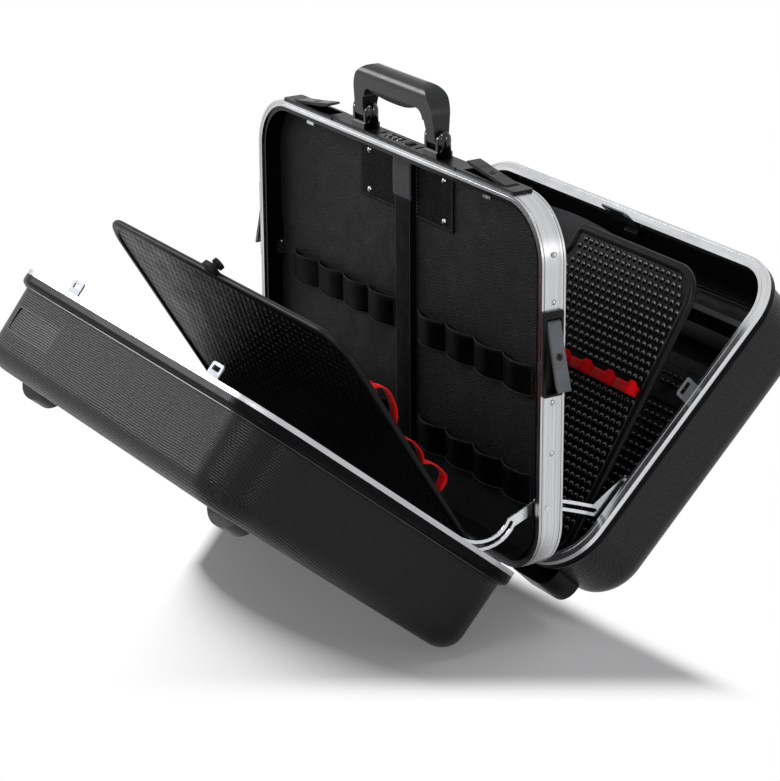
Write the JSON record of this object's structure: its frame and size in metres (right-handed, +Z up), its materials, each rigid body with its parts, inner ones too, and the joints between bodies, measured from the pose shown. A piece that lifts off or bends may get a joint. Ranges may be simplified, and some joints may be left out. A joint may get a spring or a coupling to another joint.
{
  "type": "tool case",
  "caption": "Black tool case standing open: two shells swing out from an aluminium centre frame with a pocket panel, tilt locks, ring lock, slotted stays and tool boards.",
  "frame": {"origin": "middle of the bounding box on the ground, with the case standing open as in the picture", "axes": "+X along the case's width, +Y from the front shell to the rear shell, +Z up; the centre frame leans 3.2 degrees towards +Y"},
  "size_m": [0.5186, 0.6132, 0.4517],
  "materials": {
    "bright_aluminium": "brushed",
    "frame_black": "satin",
    "panel_black": "grained",
    "webbing": "woven",
    "shell_black": "fine diamond grain",
    "bumper_black": "satin",
    "foot_rubber": "matte",
    "handle_grey": "satin",
    "grip_black": "cross hatched",
    "gloss_black": "polished",
    "strip_grey": "satin",
    "dial_ring": "satin",
    "lock_grey": "satin",
    "lever_grey": "satin",
    "plug_chrome": "polished",
    "steel": "brushed",
    "board_black": "pressed pattern",
    "trim_black": "satin",
    "elastic_red": "woven",
    "flap_grey": "satin",
    "lining_dark": "satin"
  },
  "bodies": {
    "frame": {"frame_band": "bright_aluminium", "frame_liner": "frame_black", "centre_panel": "panel_black", "panel_patches": "panel_black", "rivets": "steel", "centre_strap": "panel_black", "upper_pockets": "webbing", "lower_pockets": "webbing", "top_strip": "strip_grey", "handle_mounts": "gloss_black", "pivot_pins": "steel", "combination_housing": "strip_grey", "top_lock_trays": "lock_grey", "side_lock_trays": "lock_grey", "latch_bolts": "steel", "frame_stay_pins": "steel", "frame_leaves": "steel", "hinge_pins": "steel"},
    "handle": {"handle": "handle_grey", "handle_grip": "grip_black"},
    "dial_1": {"dial_1": "dial_ring"},
    "dial_2": {"dial_2": "dial_ring"},
    "dial_3": {"dial_3": "dial_ring"},
    "lock_slide": {"lock_slide": "strip_grey"},
    "top_lever_left": {"top_lever_left": "lever_grey"},
    "top_lever_right": {"top_lever_right": "lever_grey"},
    "side_lever_left": {"side_lever_left": "lever_grey"},
    "side_lever_right": {"side_lever_right": "lever_grey"},
    "top_plug_left": {"top_plug_left": "plug_chrome"},
    "top_plug_right": {"top_plug_right": "plug_chrome"},
    "side_plug_left": {"side_plug_left": "plug_chrome"},
    "side_plug_right": {"side_plug_right": "plug_chrome"},
    "front_shell": {"front_shell": "shell_black", "front_rim": "bright_aluminium", "front_bumper": "bumper_black", "front_leaves": "steel", "front_catches": "steel", "front_feet": "foot_rubber", "front_shell_pins": "steel"},
    "front_board": {"front_board": "board_black", "front_board_trim": "trim_black", "front_elastic": "elastic_red"},
    "front_stay_left": {"front_stay_left": "steel"},
    "front_stay_right": {"front_stay_right": "steel"},
    "rear_shell": {"rear_shell": "shell_black", "rear_rim": "bright_aluminium", "rear_bumper": "bumper_black", "rear_leaves": "steel", "rear_catches": "steel", "rear_feet": "foot_rubber", "rear_shell_pins": "steel", "rear_divider": "lining_dark", "rear_lining": "lining_dark"},
    "rear_board": {"rear_board": "board_black", "rear_board_trim": "trim_black", "rear_elastic": "elastic_red", "rear_flap": "flap_grey"},
    "rear_stay_left": {"rear_stay_left": "steel"},
    "rear_stay_right": {"rear_stay_right": "steel"}
  },
  "joints": [
    {"name": "front_shell_hinge", "type": "hinge", "parent": "frame", "child": "front_shell", "pos_m": [0, -0.01096, 0.0503], "axis": [1, 0, 0], "range_deg": [-50.6, 0]},
    {"name": "rear_shell_hinge", "type": "hinge", "parent": "frame", "child": "rear_shell", "pos_m": [0, 0.0138, 0.04892], "axis": [1, 0, 0], "range_deg": [0, 44.9]},
    {"name": "front_board_hinge", "type": "hinge", "parent": "front_shell", "child": "front_board", "pos_m": [0, -0.03481, 0.04615], "axis": [1, 0, 0], "range_deg": [0, 19.3]},
    {"name": "rear_board_hinge", "type": "hinge", "parent": "rear_shell", "child": "rear_board", "pos_m": [0, 0.03306, 0.04955], "axis": [1, 0, 0], "range_deg": [-13.2, 0]},
    {"name": "front_stay_left_pivot", "type": "hinge", "parent": "frame", "child": "front_stay_left", "pos_m": [-0.22725, 0.00192, 0.12145], "axis": [1, 0, 0], "range_deg": [-84.8, 0]},
    {"name": "rear_stay_left_pivot", "type": "hinge", "parent": "rear_shell", "child": "rear_stay_left", "pos_m": [-0.22545, 0.09517, 0.11659], "axis": [1, 0, 0], "range_deg": [-16.9, 0]},
    {"name": "front_stay_right_pivot", "type": "hinge", "parent": "frame", "child": "front_stay_right", "pos_m": [0.22725, 0.00192, 0.12145], "axis": [1, 0, 0], "range_deg": [-84.8, 0]},
    {"name": "rear_stay_right_pivot", "type": "hinge", "parent": "rear_shell", "child": "rear_stay_right", "pos_m": [0.22545, 0.09517, 0.11659], "axis": [1, 0, 0], "range_deg": [-16.9, 0]},
    {"name": "handle_pivot", "type": "hinge", "parent": "frame", "child": "handle", "pos_m": [0, 0.02121, 0.40511], "axis": [1, 0, 0], "range_deg": [-85, 85]},
    {"name": "dial_1_turn", "type": "hinge", "parent": "frame", "child": "dial_1", "pos_m": [-0.018, 0.02015, 0.38604], "axis": [1, 0, 0], "continuous": true},
    {"name": "dial_2_turn", "type": "hinge", "parent": "frame", "child": "dial_2", "pos_m": [-0.01, 0.02015, 0.38604], "axis": [1, 0, 0], "continuous": true},
    {"name": "dial_3_turn", "type": "hinge", "parent": "frame", "child": "dial_3", "pos_m": [-0.002, 0.02015, 0.38604], "axis": [1, 0, 0], "continuous": true},
    {"name": "lock_slide_travel", "type": "slide", "parent": "frame", "child": "lock_slide", "axis": [1, 0, 0], "range_m": [0, 0.003], "stiffness_N_per_m": 150},
    {"name": "top_lever_right_pivot", "type": "hinge", "parent": "frame", "child": "top_lever_right", "pos_m": [0.173, 0.02026, 0.38804], "axis": [0, 0.9985, -0.0556], "range_deg": [-8, 8]},
    {"name": "top_lever_left_pivot", "type": "hinge", "parent": "frame", "child": "top_lever_left", "pos_m": [-0.173, 0.02026, 0.38804], "axis": [0, -0.9985, 0.0556], "range_deg": [-8, 8]},
    {"name": "side_lever_right_pivot", "type": "hinge", "parent": "frame", "child": "side_lever_right", "pos_m": [0.2402, 0.01353, 0.28505], "axis": [0, 0.9985, -0.0556], "range_deg": [0, 16]},
    {"name": "side_lever_left_pivot", "type": "hinge", "parent": "frame", "child": "side_lever_left", "pos_m": [-0.2402, 0.01353, 0.28505], "axis": [0, -0.9985, 0.0556], "range_deg": [0, 16]},
    {"name": "top_plug_right_turn", "type": "hinge", "parent": "top_lever_right", "child": "top_plug_right", "pos_m": [0.14626, 0.02047, 0.39179], "axis": [0.1392, 0.055, 0.9887], "range_deg": [0, 90]},
    {"name": "side_plug_right_turn", "type": "hinge", "parent": "side_lever_right", "child": "side_plug_right", "pos_m": [0.24764, 0.01208, 0.25914], "axis": [0.9613, 0.0153, 0.2752], "range_deg": [0, 90]},
    {"name": "top_plug_left_turn", "type": "hinge", "parent": "top_lever_left", "child": "top_plug_left", "pos_m": [-0.14626, 0.02047, 0.39179], "axis": [-0.1392, 0.055, 0.9887], "range_deg": [0, 90]},
    {"name": "side_plug_left_turn", "type": "hinge", "parent": "side_lever_left", "child": "side_plug_left", "pos_m": [-0.24764, 0.01208, 0.25914], "axis": [-0.9613, 0.0153, 0.2752], "range_deg": [0, 90]}
  ],
  "couplings": [
    {"joint": "front_board_hinge", "follows": "front_shell_hinge", "ratio": -0.3814},
    {"joint": "rear_board_hinge", "follows": "rear_shell_hinge", "ratio": -0.2939},
    {"joint": "front_stay_left_pivot", "follows": "front_shell_hinge", "ratio": 1.6758},
    {"joint": "rear_stay_left_pivot", "follows": "rear_shell_hinge", "ratio": -0.3764},
    {"joint": "front_stay_right_pivot", "follows": "front_shell_hinge", "ratio": 1.6758},
    {"joint": "rear_stay_right_pivot", "follows": "rear_shell_hinge", "ratio": -0.3764}
  ]
}
